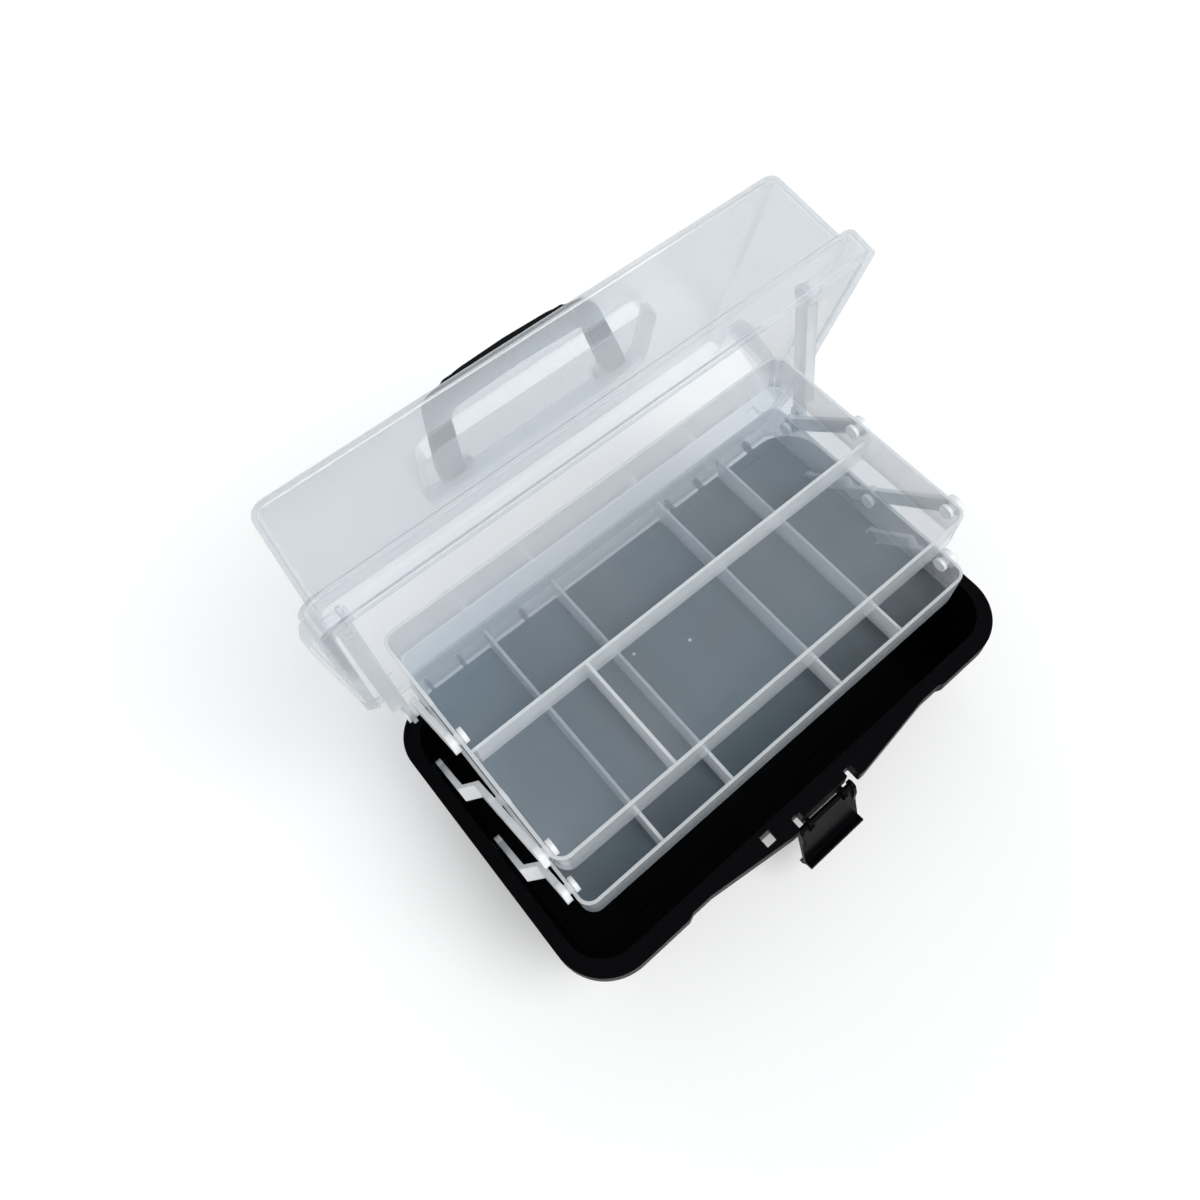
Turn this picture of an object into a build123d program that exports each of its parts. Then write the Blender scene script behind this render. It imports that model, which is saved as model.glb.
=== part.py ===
from build123d import *
import math
import os

# A cantilever toolbox in the open position: black base, clear lid, two clear lift-out trays carried
# by plastic arms. X runs along the length, Y from the front to the back, Z up from the underside of
# the base. Millimetres throughout.

os.makedirs("parts", exist_ok=True)

# Base tub
rim_half_length = 165.0
rim_front = -101.4
rim_back = 96.5
rim_height = 90.0
rim_front_radius = 32.0
rim_back_radius = 28.0
rim_thickness = 3.0
rim_lip_drop = 11.0
rim_lip_wall = 1.5
bow_reach = 5.3
bow_inner = 28.0
bow_outer = 84.0
bow_dip = 1.6
latch_notch_half = 23.5
latch_notch_inner_half = 17.5
latch_notch_depth = 2.8
latch_bar_reach = 1.2
floor_thickness = 3.0
side_wall = 2.5
back_wall = 2.0
rim_side_width = 8.0
rim_front_width = 10.4
rim_back_width = 8.3
opening_radius = 24.0
side_draft = 5.0
front_draft = 9.0
back_draft = 4.0
floor_step = 1.0
floor_strip_half = 30.0
floor_band_half = 113.0
floor_band_margin = 23.0
padlock_size = 7.0
padlock_x = -40.5
padlock_setback = 3.5

# Hinge between the base and the lid
hinge_overhang = 6.7
hinge_drop = 2.9
hinge_rod_radius = 1.95
running_clearance = 0.05
ear_thickness = 2.0
ear_radius = 3.9
ear_end_gap = 35.0
ear_outer_spacing = 23.2
ear_middle_spacing = 21.4
ear_inner_spacing = 25.4
ear_mouth = 3.0
window_front_margin = 6.3
window_back_margin = 1.5
window_margin = 0.9
web_gap = 0.9
lid_open_angle = 75.39

# Lid
lid_gap = 0.4
lid_side_overhang = 2.0
lid_front_overhang = 1.6
lid_skirt_height = 18.5
lid_height = 70.5
lid_wall = 2.0
lid_front_radius = 10.0
lid_back_radius = 26.0
lid_corner_radius = 9.0
lid_ledge_side = 5.4
lid_ledge_front = 5.0
lid_ledge_edge_radius = 3.5
lid_wall_root = 4.0
lid_side_draft = 3.6
lid_front_draft = 0.2
lid_roof_edge_radius = 7.5
lid_foot_width = 6.5
lid_foot_thickness = 2.5
bulge_length = 34.5
bulge_reach = 6.0
bulge_root_depth = 17.0
bulge_low_rise = 6.0
bulge_high_rise = 54.0
bulge_top_rise = 61.5
recess_side_gap = 11.0
recess_front_gap = 1.5
recess_back_gap = 12.0
recess_depth = 9.5
recess_radius = 12.0

# Handle
handle_pivot_y = 8.0
handle_pivot_depth = 4.0
handle_raise = 29.0
handle_foot_outer = 64.0
handle_foot_inner = 49.0
handle_barrel_radius = 3.8
handle_reach_middle = 55.5
handle_corner_drop = 9.5
handle_corner_outer = 58.0
handle_bar_depth = 16.5
handle_crown_radius = 40.0
handle_inner_half = 45.0
handle_thickness = 9.0
handle_edge_radius = 1.5
grip_thickness = 10.0
grip_margin = 3.0
grip_radius = 4.0
handle_pin_radius = 2.5
lug_thickness = 4.0
lug_gap = 0.4
lug_radius = 4.8

# Latch
latch_axis_reach = 3.6
latch_axis_drop = 18.0
latch_rod_radius = 2.0
latch_half_width = 22.0
latch_open_angle = 165.0
latch_plate_thickness = 2.4
latch_plate_root = 4.7
latch_plate_overlap = 0.2
latch_cheek = 2.3
latch_cheek_root = 6.0
latch_cheek_depth = 3.4
latch_cheek_length = 17.0
latch_ear_x = 13.5
latch_ear_thickness = 3.0
latch_ear_radius = 4.2
latch_ear_root = 0.2
latch_ear_gap = 0.5
latch_hook_reach = 4.8
latch_hook_gap = 0.5
latch_hook_thickness = 2.2
latch_tab_rise = 6.0
latch_tab_flare = 4.0

# Trays
tray_side_gap = 15.0
tray_height = 27.8
tray_wall = 1.8
tray_floor = 1.8
tray_radius = 8.0
tray_draft = 1.2
divider_drop = 8.0
divider_thickness = 1.8
upper_front_gap = 11.3
upper_depth = 151.5
upper_rim_rise = 7.4
upper_long_divider = 17.0
upper_cross_divider = -68.0
lower_front_gap = 16.5
lower_depth = 162.7
lower_rim_rise = 7.6
lower_outer_divider = 90.0
lower_inner_divider = 41.0

# Arms
arm_base_drop = 18.0
front_arm_setback = 95.0
middle_arm_setback = 36.1
rear_pin_setback = 19.8
arm_rise = 56.0
upper_span = 50.2
arm_width = 9.0
arm_eye_radius = 6.0
wall_draft_at_pin = 0.35
arm_thickness = 3.5
arm_inner_gap = 1.0
arm_outer_gap = 6.0
front_joggle = 40.0
middle_joggle = 44.0
joggle_length = 9.0
pin_radius = 3.0
pin_head_radius = 4.5
pin_head_gap = 0.3
pin_head_thickness = 2.6
stud_radius = 2.6
stud_head_radius = 4.2
stud_head_thickness = 1.5
stud_head_gap = 0.3

# Lid links
link_side_gap = 6.0
link_thickness = 2.5
link_width = 9.5
link_pivot_setback = 142.5
link_pivot_rise = 0.5
link_slot_over = 0.4
link_slot_under = 5.3
link_slot_clearance = 0.9
link_stud_radius = 2.5
link_collar_radius = 4.2
link_flange_height = 6.0
link_flange_thickness = 1.8
link_flange_start = 9.0
link_flange_end = 92.0

# Sizes that follow from the ones above: base and hinge
wall_top = rim_height - rim_thickness
opening_half_length = rim_half_length - rim_side_width
opening_front = rim_front + rim_front_width
opening_back = rim_back - rim_back_width
opening_depth = opening_back - opening_front
latch_notch_edge = rim_front + latch_notch_depth
latch_bar_edge = rim_front - latch_bar_reach
padlock_y = rim_front + padlock_setback
hinge_y = rim_back + hinge_overhang
hinge_z = rim_height - hinge_drop
window_front = rim_back - window_front_margin
window_back = rim_back - window_back_margin
ear_outer_x = rim_half_length - ear_end_gap
ear_third_x = ear_outer_x - ear_outer_spacing
ear_second_x = ear_third_x - ear_middle_spacing
ear_inner_x = ear_second_x - ear_inner_spacing
ear_places = [ear_inner_x, ear_second_x, ear_third_x, ear_outer_x]
ear_gaps = [(ear_inner_x, ear_second_x), (ear_second_x, ear_third_x), (ear_third_x, ear_outer_x)]
latch_axis_y = rim_front - latch_axis_reach
latch_axis_z = rim_height - latch_axis_drop
latch_ear_inner = latch_ear_x - latch_ear_thickness / 2 - latch_ear_gap
latch_ear_outer = latch_ear_x + latch_ear_thickness / 2 + latch_ear_gap

# Lid and handle
lid_half_length = rim_half_length + lid_side_overhang
lid_front = rim_front - lid_front_overhang
lid_back = rim_back
lid_foot_z = rim_height + lid_gap
lid_ledge_z = rim_height + lid_skirt_height
lid_roof_z = rim_height + lid_height
lid_roof_half_length = lid_half_length - lid_ledge_side - lid_side_draft
lid_roof_front = lid_front + lid_ledge_front + lid_front_draft
bulge_front = rim_back - bulge_length
bulge_half_length = lid_half_length + bulge_reach
bulge_root = lid_half_length - bulge_root_depth
bulge_low = rim_height + bulge_low_rise
bulge_high = rim_height + bulge_high_rise
bulge_top = rim_height + bulge_top_rise
handle_pivot_z = lid_roof_z - handle_pivot_depth
handle_reach_corner = handle_reach_middle - handle_corner_drop
handle_inner_reach = handle_reach_middle - handle_bar_depth
recess_half_length = handle_foot_outer + recess_side_gap
recess_front = handle_pivot_y - handle_reach_middle - recess_front_gap
recess_back = handle_pivot_y + recess_back_gap

# Trays, arms and links
tray_half_length = opening_half_length - tray_side_gap
pin_hole_length = tray_wall + tray_draft + 1
arm_inner_x = tray_half_length + arm_inner_gap
arm_outer_x = opening_half_length - arm_outer_gap
link_x = arm_inner_x + link_side_gap
arm_base_z = rim_height - arm_base_drop
front_arm_base_y = rim_back - front_arm_setback
middle_arm_base_y = rim_back - middle_arm_setback
rear_pin_y = rim_back - rear_pin_setback
pin_z = arm_base_z + arm_rise
front_pin_y = front_arm_base_y - arm_rise
middle_pin_y = middle_arm_base_y - arm_rise
upper_pin_z = pin_z + upper_span
upper_front_pin_y = middle_pin_y - upper_span
upper_rear_pin_y = rear_pin_y - upper_span
lower_arm_length = arm_rise * math.sqrt(2)
upper_arm_length = upper_span * math.sqrt(2)
lower_rim = pin_z + lower_rim_rise
lower_front = front_pin_y - lower_front_gap
lower_back = lower_front + lower_depth
upper_rim = upper_pin_z + upper_rim_rise
upper_front = upper_front_pin_y - upper_front_gap
upper_back = upper_front + upper_depth
link_pivot_y = rim_back - link_pivot_setback
link_pivot_z = lid_ledge_z + link_pivot_rise

# The lid is drawn closed, in a plane that stands open about the hinge. Local coordinates in this
# plane are those of the closed lid.
swing = math.radians(lid_open_angle)
lid_origin_y = hinge_y - hinge_y * math.cos(swing) - hinge_z * math.sin(swing)
lid_origin_z = hinge_z + hinge_y * math.sin(swing) - hinge_z * math.cos(swing)
lid_plane = Plane(
    origin=(0, lid_origin_y, lid_origin_z),
    x_dir=(1, 0, 0),
    z_dir=(0, math.sin(swing), math.cos(swing)),
)
lid_side = Plane(origin=lid_plane.origin, x_dir=lid_plane.y_dir, z_dir=lid_plane.x_dir)
lid_face = Plane(origin=lid_plane.origin, x_dir=lid_plane.x_dir, z_dir=-lid_plane.y_dir)


# Base tub: drafted body, rim flange with a turned-down lip, hinge ears, latch ears and arm studs
with BuildPart() as base_tub:
    with BuildSketch(Plane.XY) as tub_bottom:
        with Locations((0, (opening_front + opening_back + front_draft - back_draft) / 2)):
            RectangleRounded(
                2 * (opening_half_length - side_draft + side_wall),
                opening_depth - front_draft - back_draft + side_wall + back_wall,
                opening_radius,
            )
    with BuildSketch(Plane.XY.offset(wall_top)) as tub_top:
        with Locations((0, (opening_front - side_wall + opening_back + back_wall) / 2)):
            RectangleRounded(
                2 * (opening_half_length + side_wall),
                opening_depth + side_wall + back_wall,
                opening_radius + side_wall,
            )
    loft()
    # rim outline: straight front corners, bowed middle, notches for the two sides of the latch
    with BuildSketch(Plane.XY.offset(wall_top)) as rim_plan:
        with BuildLine() as rim_line:
            FilletPolyline(
                (0, rim_back),
                (rim_half_length, rim_back),
                (rim_half_length, rim_front),
                (bow_outer + 17, rim_front),
                (bow_outer + 13, rim_front + bow_dip),
                (bow_outer, rim_front + bow_dip),
                (bow_inner, rim_front - bow_reach),
                (latch_notch_half, rim_front - bow_reach),
                (latch_notch_half, latch_notch_edge),
                (latch_notch_inner_half, latch_notch_edge),
                (latch_notch_inner_half, latch_bar_edge),
                (0, latch_bar_edge),
                radius=[rim_back_radius, rim_front_radius, 1.5, 1.5, 3, 1.5, 1, 1, 1, 1],
            )
            mirror(about=Plane.YZ)
        make_face()
    extrude(amount=rim_thickness)
    with BuildSketch(Plane.XY.offset(rim_height - rim_lip_drop)) as lip_plan:
        add(rim_plan.sketch_local)
        offset(amount=-rim_lip_wall, kind=Kind.INTERSECTION, mode=Mode.SUBTRACT)
    extrude(amount=rim_lip_drop - rim_thickness / 2)
    # cavity
    with BuildSketch(Plane.XY.offset(floor_thickness)) as cavity_bottom:
        with Locations((0, (opening_front + opening_back + front_draft - back_draft) / 2)):
            RectangleRounded(
                2 * (opening_half_length - side_draft),
                opening_depth - front_draft - back_draft,
                opening_radius - 2,
            )
    with BuildSketch(Plane.XY.offset(rim_height)) as cavity_top:
        with Locations((0, (opening_front + opening_back) / 2)):
            RectangleRounded(2 * opening_half_length, opening_depth, opening_radius)
    loft(mode=Mode.SUBTRACT)
    # shallow steps moulded in the floor
    with BuildSketch(Plane.XY.offset(floor_thickness - 0.5)):
        for side in (-1, 1):
            with Locations((side * (floor_strip_half + floor_band_half) / 2, 0)):
                Rectangle(floor_band_half - floor_strip_half, opening_depth - 2 * floor_band_margin)
    extrude(amount=floor_step + 0.5)
    # padlock hole, on the left of the front flange only
    with BuildSketch(Plane.XY.offset(rim_height)):
        with Locations((padlock_x, padlock_y)):
            Rectangle(padlock_size, padlock_size)
    extrude(amount=-rim_thickness, mode=Mode.SUBTRACT)
    # windows in the rear flange between the hinge ears
    with BuildSketch(Plane.XY.offset(rim_height)):
        for low, high in ear_gaps:
            width = high - low - 2 * window_margin
            with Locations(((low + high) / 2, (window_front + window_back) / 2)):
                Rectangle(width, window_back - window_front)
            with Locations((-(low + high) / 2, (window_front + window_back) / 2)):
                Rectangle(width, window_back - window_front)
    extrude(amount=-rim_thickness, mode=Mode.SUBTRACT)
    # hinge ears
    for place in ear_places:
        for side in (-1, 1):
            with BuildSketch(Plane.YZ.offset(side * place)):
                with Locations((hinge_y, hinge_z)):
                    Circle(ear_radius)
                with Locations(((hinge_y + window_back + 0.3) / 2, hinge_z - 0.6)):
                    Rectangle(hinge_y - window_back - 0.3, 2 * ear_radius - 1.2)
                with Locations((hinge_y, hinge_z)):
                    Circle(hinge_rod_radius + running_clearance, mode=Mode.SUBTRACT)
                with Locations((hinge_y + ear_radius, hinge_z)):
                    Rectangle(2 * ear_radius, ear_mouth, mode=Mode.SUBTRACT)
            extrude(amount=ear_thickness / 2, both=True)
    # latch ears under the flange
    ear_root = opening_front + latch_ear_root
    for side in (-1, 1):
        with BuildSketch(Plane.YZ.offset(side * latch_ear_x)):
            with Locations((latch_axis_y, latch_axis_z)):
                Circle(latch_ear_radius)
            with Locations(((latch_axis_y + ear_root) / 2, latch_axis_z)):
                Rectangle(ear_root - latch_axis_y, 2 * latch_ear_radius)
            with Locations((latch_axis_y, latch_axis_z)):
                Circle(latch_rod_radius + running_clearance, mode=Mode.SUBTRACT)
        extrude(amount=latch_ear_thickness / 2, both=True)
    # arm studs on the side walls, each with a collar and a retaining head
    stud_shaft = opening_half_length - arm_outer_x + stud_head_gap
    for side in (-1, 1):
        for place in (front_arm_base_y, middle_arm_base_y):
            with BuildSketch(Plane.YZ.offset(side * (arm_outer_x - stud_head_gap))):
                with Locations((place, arm_base_z)):
                    Circle(stud_radius)
            extrude(amount=side * stud_shaft)
            with BuildSketch(Plane.YZ.offset(side * (arm_outer_x + arm_thickness + stud_head_gap))):
                with Locations((place, arm_base_z)):
                    Circle(stud_head_radius)
            extrude(amount=side * (opening_half_length - arm_outer_x - arm_thickness - stud_head_gap))
            with BuildSketch(Plane.YZ.offset(side * (arm_outer_x - stud_head_gap))):
                with Locations((place, arm_base_z)):
                    Circle(stud_head_radius)
            extrude(amount=-side * stud_head_thickness)
base_tub.part.label = "base_tub"
export_step(base_tub.part, "parts/base_tub.step")


# Lid shell: skirt with an inner foot, ledge, drafted walls, roof with a handle recess, side bulges
# at the rear, hinge rods with webs, and studs for the links
lid_up = Axis(lid_plane.origin, lid_plane.z_dir)
with BuildPart() as lid_hollow:
    with BuildSketch(lid_plane.offset(lid_foot_z - 1)):
        with Locations((0, (lid_front + lid_foot_width + lid_back - lid_wall) / 2)):
            RectangleRounded(
                2 * (lid_half_length - lid_foot_width),
                lid_back - lid_front - lid_foot_width - lid_wall,
                lid_front_radius,
            )
    extrude(amount=lid_foot_thickness + 2)
    with BuildSketch(lid_plane.offset(lid_foot_z + lid_foot_thickness)) as skirt_inside:
        with Locations((0, (lid_front + lid_back) / 2)):
            Rectangle(2 * (lid_half_length - lid_wall), lid_back - lid_front - 2 * lid_wall)
        fillet(skirt_inside.vertices().group_by(Axis.Y)[0], lid_front_radius - lid_wall)
        fillet(skirt_inside.vertices().group_by(Axis.Y)[-1], lid_back_radius - lid_wall)
    extrude(amount=lid_ledge_z - lid_foot_z - lid_foot_thickness - lid_wall)
    fillet(lid_hollow.edges().group_by(lid_up)[-1], lid_ledge_edge_radius - lid_wall)
    with BuildSketch(lid_plane.offset(lid_ledge_z - lid_wall_root)) as walls_inside:
        with Locations((0, (lid_front + lid_ledge_front + lid_back) / 2)):
            RectangleRounded(
                2 * (lid_half_length - lid_ledge_side - lid_wall),
                lid_back - lid_front - lid_ledge_front - 2 * lid_wall,
                lid_corner_radius - lid_wall,
            )
    with BuildSketch(lid_plane.offset(lid_roof_z - lid_wall)) as roof_inside:
        with Locations((0, (lid_roof_front + lid_back) / 2)):
            RectangleRounded(
                2 * (lid_roof_half_length - lid_wall),
                lid_back - lid_roof_front - 2 * lid_wall,
                lid_corner_radius - lid_wall,
            )
    loft()
    fillet(lid_hollow.edges().group_by(lid_up)[-1], lid_roof_edge_radius - lid_wall)
    # inside of the side bulges
    for side in (-1, 1):
        with BuildSketch(lid_face.offset(-lid_back + lid_wall)):
            with BuildLine():
                FilletPolyline(
                    (side * bulge_root, lid_foot_z + lid_foot_thickness + 3),
                    (side * (lid_half_length - lid_wall - 0.5), bulge_low),
                    (side * (bulge_half_length - lid_wall), bulge_high),
                    (side * (bulge_half_length - lid_wall - 4), bulge_top - lid_wall),
                    (side * bulge_root, bulge_top - lid_wall),
                    radius=4,
                    close=True,
                )
            make_face()
        extrude(amount=lid_back - bulge_front - 2 * lid_wall)
with BuildPart() as lid_shell:
    with BuildSketch(lid_plane.offset(lid_foot_z)) as skirt_plan:
        with Locations((0, (lid_front + lid_back) / 2)):
            Rectangle(2 * lid_half_length, lid_back - lid_front)
        fillet(skirt_plan.vertices().group_by(Axis.Y)[0], lid_front_radius)
        fillet(skirt_plan.vertices().group_by(Axis.Y)[-1], lid_back_radius)
    extrude(amount=lid_ledge_z - lid_foot_z)
    fillet(lid_shell.edges().group_by(lid_up)[-1], lid_ledge_edge_radius)
    with BuildSketch(lid_plane.offset(lid_ledge_z - lid_wall_root)) as wall_plan:
        with Locations((0, (lid_front + lid_ledge_front + lid_back) / 2)):
            RectangleRounded(
                2 * (lid_half_length - lid_ledge_side),
                lid_back - lid_front - lid_ledge_front,
                lid_corner_radius,
            )
    with BuildSketch(lid_plane.offset(lid_roof_z)) as roof_plan:
        with Locations((0, (lid_roof_front + lid_back) / 2)):
            RectangleRounded(2 * lid_roof_half_length, lid_back - lid_roof_front, lid_corner_radius)
    loft()
    fillet(lid_shell.edges().group_by(lid_up)[-1], lid_roof_edge_radius)
    for side in (-1, 1):
        with BuildSketch(lid_face.offset(-lid_back)):
            with BuildLine():
                FilletPolyline(
                    (side * bulge_root, lid_foot_z + 2),
                    (side * (lid_half_length - 0.5), bulge_low - 2),
                    (side * bulge_half_length, bulge_high),
                    (side * (bulge_half_length - 4), bulge_top),
                    (side * bulge_root, bulge_top),
                    radius=[2, 6, 5, 3, 2],
                    close=True,
                )
            make_face()
        extrude(amount=lid_back - bulge_front)
    add(lid_hollow.part, mode=Mode.SUBTRACT)
    # handle recess: a walled pocket let into the roof
    with BuildSketch(lid_plane.offset(lid_roof_z - lid_wall / 2)):
        with Locations((0, (recess_front + recess_back) / 2)):
            RectangleRounded(
                2 * (recess_half_length + lid_wall),
                recess_back - recess_front + 2 * lid_wall,
                recess_radius + lid_wall,
            )
    extrude(amount=-(recess_depth + lid_wall / 2))
    with BuildSketch(lid_plane.offset(lid_roof_z)):
        with Locations((0, (recess_front + recess_back) / 2)):
            RectangleRounded(2 * recess_half_length, recess_back - recess_front, recess_radius)
    extrude(amount=-recess_depth, mode=Mode.SUBTRACT)
    # lugs for the handle
    for side in (-1, 1):
        with BuildSketch(lid_side.offset(side * (handle_foot_inner - lug_gap - lug_thickness / 2))):
            with Locations((handle_pivot_y, handle_pivot_z)):
                Circle(lug_radius)
            with Locations((handle_pivot_y, (lid_roof_z - recess_depth - 0.5 + handle_pivot_z) / 2)):
                Rectangle(2 * lug_radius, handle_pivot_z - lid_roof_z + recess_depth + 0.5)
            with Locations((handle_pivot_y, handle_pivot_z)):
                Circle(handle_pin_radius + running_clearance, mode=Mode.SUBTRACT)
        extrude(amount=lug_thickness / 2, both=True)
    # hinge rods, one on each side, and the webs that join them to the rear wall
    for side in (-1, 1):
        with BuildSketch(lid_side.offset(side * (ear_inner_x - 3))):
            with Locations((hinge_y, hinge_z)):
                Circle(hinge_rod_radius)
        extrude(amount=side * (ear_outer_x - ear_inner_x + 6))
        for low, high in ear_gaps:
            with BuildSketch(lid_side.offset(side * (low + high) / 2)):
                with BuildLine():
                    Polyline(
                        (lid_back - 1, rim_height + 1.4),
                        (hinge_y - 1.5, rim_height + 1.4),
                        (hinge_y - 1.5, hinge_z),
                        (hinge_y + 1.5, hinge_z),
                        (hinge_y + 1.5, rim_height + 3.4),
                        (lid_back - 1, rim_height + 3.4),
                        close=True,
                    )
                make_face()
            extrude(amount=(high - low - ear_thickness) / 2 - web_gap, both=True)
    # studs that carry the links
    for side in (-1, 1):
        link_outer = link_x + link_thickness
        with BuildSketch(lid_side.offset(side * (link_outer + stud_head_gap))):
            with Locations((link_pivot_y, link_pivot_z)):
                Circle(arm_eye_radius - 1)
        extrude(amount=side * (lid_half_length - lid_ledge_side - 1 - link_outer - stud_head_gap))
        with BuildSketch(lid_side.offset(side * (link_x - stud_head_gap))):
            with Locations((link_pivot_y, link_pivot_z)):
                Circle(stud_radius)
        extrude(amount=side * (link_thickness + 2 * stud_head_gap))
        with BuildSketch(lid_side.offset(side * (link_x - stud_head_gap))):
            with Locations((link_pivot_y, link_pivot_z)):
                Circle(stud_head_radius)
        extrude(amount=-side * stud_head_thickness)
lid_shell.part.label = "lid_shell"
export_step(lid_shell.part, "parts/lid_shell.step")


# Handle: a bail with barrel feet and a thicker grip, raised from the roof
raise_angle = math.radians(handle_raise)
leg_dir = lid_plane.z_dir * math.sin(raise_angle) - lid_plane.y_dir * math.cos(raise_angle)
handle_plane = Plane(
    origin=lid_plane.from_local_coords((0, handle_pivot_y, handle_pivot_z)),
    x_dir=(1, 0, 0),
    z_dir=Vector(1, 0, 0).cross(leg_dir),
)
handle_side = Plane(origin=handle_plane.origin, x_dir=handle_plane.y_dir, z_dir=(1, 0, 0))
with BuildPart() as handle:
    with BuildSketch(handle_plane):
        with BuildLine():
            FilletPolyline(
                (0, handle_reach_middle),
                (30, handle_reach_middle - 1),
                (handle_corner_outer - 2, handle_reach_corner + 3),
                (handle_foot_outer, 6),
                (handle_foot_outer, 0),
                (handle_foot_inner, 0),
                (handle_foot_inner, 8),
                (handle_inner_half, handle_inner_reach),
                (0, handle_inner_reach + 2),
                radius=[handle_crown_radius, 9, 4, 1, 1, 6, 7],
            )
            mirror(about=Plane.YZ)
        make_face()
    extrude(amount=handle_thickness / 2, both=True)
    handle_layers = handle.edges().group_by(Axis(handle_plane.origin, handle_plane.z_dir))
    fillet(handle_layers[0] + handle_layers[-1], handle_edge_radius)
    with BuildSketch(handle_plane) as grip_plan:
        with Locations((0, (handle_reach_middle + handle_inner_reach) / 2)):
            RectangleRounded(
                2 * (handle_inner_half - grip_margin),
                handle_reach_middle - handle_inner_reach - 2 * grip_margin,
                grip_radius,
            )
    extrude(amount=grip_thickness / 2, both=True)
    for side in (-1, 1):
        with BuildSketch(handle_side.offset(side * handle_foot_inner)):
            Circle(handle_barrel_radius)
        extrude(amount=side * (handle_foot_outer - handle_foot_inner))
        with BuildSketch(handle_side.offset(side * handle_foot_inner)):
            Circle(handle_pin_radius)
        extrude(amount=-side * (lug_thickness + 2 * lug_gap + 0.4))
handle.part.label = "handle"
export_step(handle.part, "parts/handle.step")


# Latch: hinge rod between two cheeks, plate with a hook over the ledge and a flared finger tab
latch_swing = math.radians(latch_open_angle)
latch_side = Plane(
    origin=(0, latch_axis_y, latch_axis_z),
    x_dir=(0, math.cos(latch_swing), math.sin(latch_swing)),
    z_dir=(1, 0, 0),
)
hook_height = lid_ledge_z - latch_axis_z + latch_hook_gap
plate_half = latch_plate_thickness / 2
with BuildPart() as latch:
    with BuildSketch(latch_side.offset(-latch_half_width)):
        Circle(latch_rod_radius)
    extrude(amount=2 * latch_half_width)
    with BuildSketch(latch_side):
        with BuildLine():
            Polyline(
                (-plate_half, latch_plate_root),
                (plate_half, latch_plate_root),
                (plate_half, hook_height),
                (plate_half + latch_hook_reach, hook_height),
                (plate_half + latch_hook_reach, hook_height + latch_hook_thickness),
                (plate_half, hook_height + latch_hook_thickness + 0.8),
                (-plate_half - latch_tab_flare + 2, hook_height + latch_tab_rise + 2),
                (-plate_half - latch_tab_flare, hook_height + latch_tab_rise + 1),
                (-plate_half, hook_height + 1.5),
                close=True,
            )
        make_face()
    extrude(amount=latch_half_width, both=True)
    # the plate is carried down to the rod between the ears and beside them
    for start, end in (
        (-latch_half_width, -latch_ear_outer),
        (-latch_ear_inner, latch_ear_inner),
        (latch_ear_outer, latch_half_width),
    ):
        with BuildSketch(latch_side.offset(start)):
            with Locations((0, latch_plate_root / 2)):
                Rectangle(latch_plate_thickness, latch_plate_root + 2 * latch_plate_overlap)
        extrude(amount=end - start)
    for side in (-1, 1):
        with BuildSketch(latch_side.offset(side * (latch_half_width - latch_cheek))):
            Circle(latch_rod_radius + 1.2)
            with BuildLine():
                Polyline(
                    (-plate_half, 0),
                    (latch_rod_radius + 1.2, 0),
                    (latch_cheek_depth, latch_cheek_root),
                    (plate_half, latch_cheek_length),
                    (-plate_half, latch_cheek_length),
                    close=True,
                )
            make_face()
        extrude(amount=side * latch_cheek)
latch.part.label = "latch"
export_step(latch.part, "parts/latch.step")


# Lower tray: drafted walls, pin holes and four cross dividers
with BuildPart() as lower_tray:
    tray_middle = (lower_front + lower_back) / 2
    tray_depth = lower_back - lower_front
    with BuildSketch(Plane.XY.offset(lower_rim - tray_height)):
        with Locations((0, tray_middle)):
            RectangleRounded(
                2 * (tray_half_length - tray_draft), tray_depth - 2 * tray_draft, tray_radius
            )
    with BuildSketch(Plane.XY.offset(lower_rim)):
        with Locations((0, tray_middle)):
            RectangleRounded(2 * tray_half_length, tray_depth, tray_radius)
    loft()
    with BuildSketch(Plane.XY.offset(lower_rim - tray_height + tray_floor)):
        with Locations((0, tray_middle)):
            RectangleRounded(
                2 * (tray_half_length - tray_draft - tray_wall),
                tray_depth - 2 * tray_draft - 2 * tray_wall,
                tray_radius - tray_wall,
            )
    with BuildSketch(Plane.XY.offset(lower_rim)):
        with Locations((0, tray_middle)):
            RectangleRounded(
                2 * (tray_half_length - tray_wall), tray_depth - 2 * tray_wall, tray_radius - tray_wall
            )
    loft(mode=Mode.SUBTRACT)
    with BuildSketch(Plane.XY.offset(lower_rim - tray_height + tray_floor / 2)):
        for place in (lower_inner_divider, lower_outer_divider):
            with Locations((place, tray_middle), (-place, tray_middle)):
                Rectangle(divider_thickness, tray_depth - 2 * tray_draft - tray_wall)
    extrude(amount=tray_height - divider_drop - tray_floor / 2)
    for side in (-1, 1):
        with BuildSketch(Plane.YZ.offset(side * tray_half_length)):
            with Locations((front_pin_y, pin_z), (middle_pin_y, pin_z), (rear_pin_y, pin_z)):
                Circle(pin_radius + running_clearance)
        extrude(amount=-side * pin_hole_length, mode=Mode.SUBTRACT)
lower_tray.part.label = "lower_tray"
export_step(lower_tray.part, "parts/lower_tray.step")


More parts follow.
